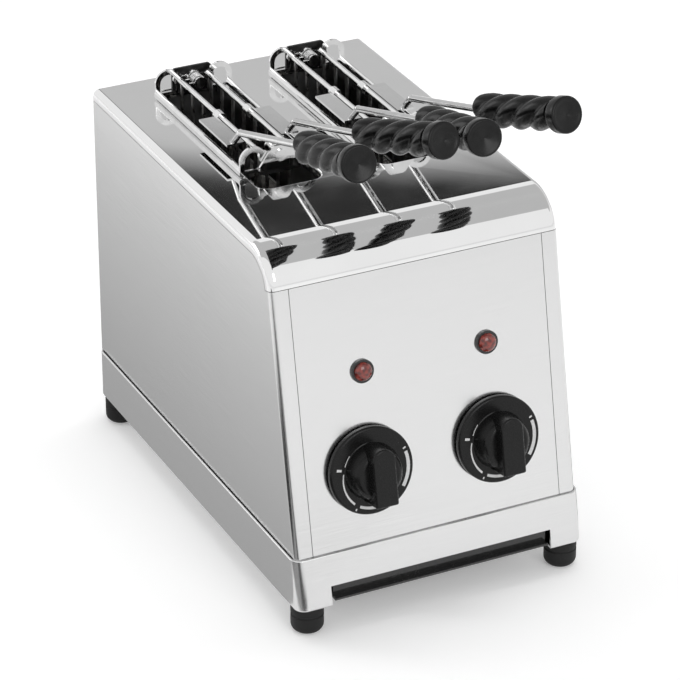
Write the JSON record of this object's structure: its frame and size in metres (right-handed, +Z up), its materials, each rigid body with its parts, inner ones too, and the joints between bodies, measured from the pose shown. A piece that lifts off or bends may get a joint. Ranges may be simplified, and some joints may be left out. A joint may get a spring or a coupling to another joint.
{
  "type": "sandwich toaster",
  "caption": "Upright slotted sandwich toaster in a steel housing with a leaning front, timer knobs, indicator lamps, a crumb tray and lift-out spring tongs with twisted grips.",
  "frame": {"origin": "on the worktop, under the middle of the whole object's box", "axes": "+X to the right seen from the front, +Y to the back, +Z up"},
  "size_m": [0.2204, 0.3775, 0.3686],
  "materials": {
    "mirror_steel": "polished mirror steel",
    "satin_steel": "satin brushed steel",
    "inner_sheet": "plain rolled sheet",
    "reflector_sheet": "bright reflector sheet, browned by heat",
    "foot_rubber": "matt black rubber",
    "bright_hardware": "bright zinc plate",
    "tray_black": "black enamel",
    "quartz": "milky quartz",
    "heater_wire": "oxidised heater wire",
    "ceramic_white": "unglazed ceramic",
    "guard_steel": "bright wire",
    "timer_case": "moulded case",
    "knob_black": "glossy black moulding",
    "lens_red": "dark red translucent lens",
    "bezel_dark": "thin bright rim",
    "gland_black": "black nylon",
    "terminal_plastic": "cream plastic",
    "stud_brass": "plain brass",
    "grip_black": "black heat-proof moulding",
    "end_plate_dark": "blackened steel",
    "tong_chrome": "bright chromed wire and strip"
  },
  "bodies": {
    "housing": {"base_skirt": "satin_steel", "base_plate": "inner_sheet", "rubber_feet": "foot_rubber", "foot_bolts": "bright_hardware", "left_side_panel": "satin_steel", "right_side_panel": "satin_steel", "rear_panel": "satin_steel", "rear_screws": "bright_hardware", "front_panel": "satin_steel", "top_cover": "mirror_steel", "tray_runners": "inner_sheet", "front_bulkhead": "inner_sheet", "rear_bulkhead": "inner_sheet", "outer_reflectors": "reflector_sheet", "centre_reflector": "reflector_sheet", "quartz_tubes": "quartz", "heater_coils": "heater_wire", "ceramic_holders": "ceramic_white", "guard_grilles": "guard_steel", "timers": "timer_case", "timer_nuts": "bright_hardware", "indicator_lenses": "lens_red", "indicator_bezels": "bezel_dark", "lamp_holders": "timer_case", "cable_gland": "gland_black", "gland_nut": "gland_black", "terminal_block": "terminal_plastic", "earth_stud": "stud_brass"},
    "crumb_tray": {"crumb_tray": "tray_black"},
    "left_knob": {"left_timer_shaft": "bright_hardware", "left_knob": "knob_black"},
    "right_knob": {"right_timer_shaft": "bright_hardware", "right_knob": "knob_black"},
    "left_tong": {"left_tong_end_plates": "end_plate_dark", "left_tong_rivets": "tong_chrome", "left_tong_spring": "tong_chrome"},
    "left_tong_left_half": {"left_tong_left_frame": "tong_chrome", "left_tong_left_rod": "tong_chrome", "left_tong_left_grid": "tong_chrome", "left_tong_left_bracket": "tong_chrome", "left_tong_left_grip": "grip_black"},
    "left_tong_right_half": {"left_tong_right_frame": "tong_chrome", "left_tong_right_rod": "tong_chrome", "left_tong_right_grid": "tong_chrome", "left_tong_right_bracket": "tong_chrome", "left_tong_right_grip": "grip_black"},
    "right_tong": {"right_tong_end_plates": "end_plate_dark", "right_tong_rivets": "tong_chrome", "right_tong_spring": "tong_chrome"},
    "right_tong_left_half": {"right_tong_left_frame": "tong_chrome", "right_tong_left_rod": "tong_chrome", "right_tong_left_grid": "tong_chrome", "right_tong_left_bracket": "tong_chrome", "right_tong_left_grip": "grip_black"},
    "right_tong_right_half": {"right_tong_right_frame": "tong_chrome", "right_tong_right_rod": "tong_chrome", "right_tong_right_grid": "tong_chrome", "right_tong_right_bracket": "tong_chrome", "right_tong_right_grip": "grip_black"}
  },
  "joints": [
    {"name": "left_timer_turn", "type": "hinge", "parent": "housing", "child": "left_knob", "pos_m": [-0.0485, -0.15354, 0.109], "axis": [0, -0.9816, 0.1908], "range_deg": [-300, 0]},
    {"name": "right_timer_turn", "type": "hinge", "parent": "housing", "child": "right_knob", "pos_m": [0.0485, -0.15354, 0.109], "axis": [0, -0.9816, 0.1908], "range_deg": [-300, 0]},
    {"name": "crumb_tray_slide", "type": "slide", "parent": "housing", "child": "crumb_tray", "axis": [0, -1, 0], "range_m": [0, 0.22]},
    {"name": "left_tong_lift", "type": "slide", "parent": "housing", "child": "left_tong", "axis": [0, 0, 1], "range_m": [0, 0.17]},
    {"name": "left_tong_left_open", "type": "hinge", "parent": "left_tong", "child": "left_tong_left_half", "pos_m": [-0.045, 0.06026, 0.281], "axis": [0, 1, 0], "range_deg": [0, 4.5], "stiffness_Nm_per_rad": 1, "springref_deg": -17.19, "deforming": ["left_tong_spring"]},
    {"name": "left_tong_right_open", "type": "hinge", "parent": "left_tong", "child": "left_tong_right_half", "pos_m": [-0.045, 0.06026, 0.281], "axis": [0, 1, 0], "range_deg": [-4.5, 0], "stiffness_Nm_per_rad": 1, "springref_deg": 17.19},
    {"name": "right_tong_lift", "type": "slide", "parent": "housing", "child": "right_tong", "axis": [0, 0, 1], "range_m": [0, 0.17]},
    {"name": "right_tong_left_open", "type": "hinge", "parent": "right_tong", "child": "right_tong_left_half", "pos_m": [0.045, 0.06026, 0.281], "axis": [0, 1, 0], "range_deg": [0, 4.5], "stiffness_Nm_per_rad": 1, "springref_deg": -17.19, "deforming": ["right_tong_spring"]},
    {"name": "right_tong_right_open", "type": "hinge", "parent": "right_tong", "child": "right_tong_right_half", "pos_m": [0.045, 0.06026, 0.281], "axis": [0, 1, 0], "range_deg": [-4.5, 0], "stiffness_Nm_per_rad": 1, "springref_deg": 17.19}
  ],
  "couplings": [
    {"joint": "left_tong_right_open", "follows": "left_tong_left_open", "ratio": -1},
    {"joint": "right_tong_right_open", "follows": "right_tong_left_open", "ratio": -1}
  ]
}
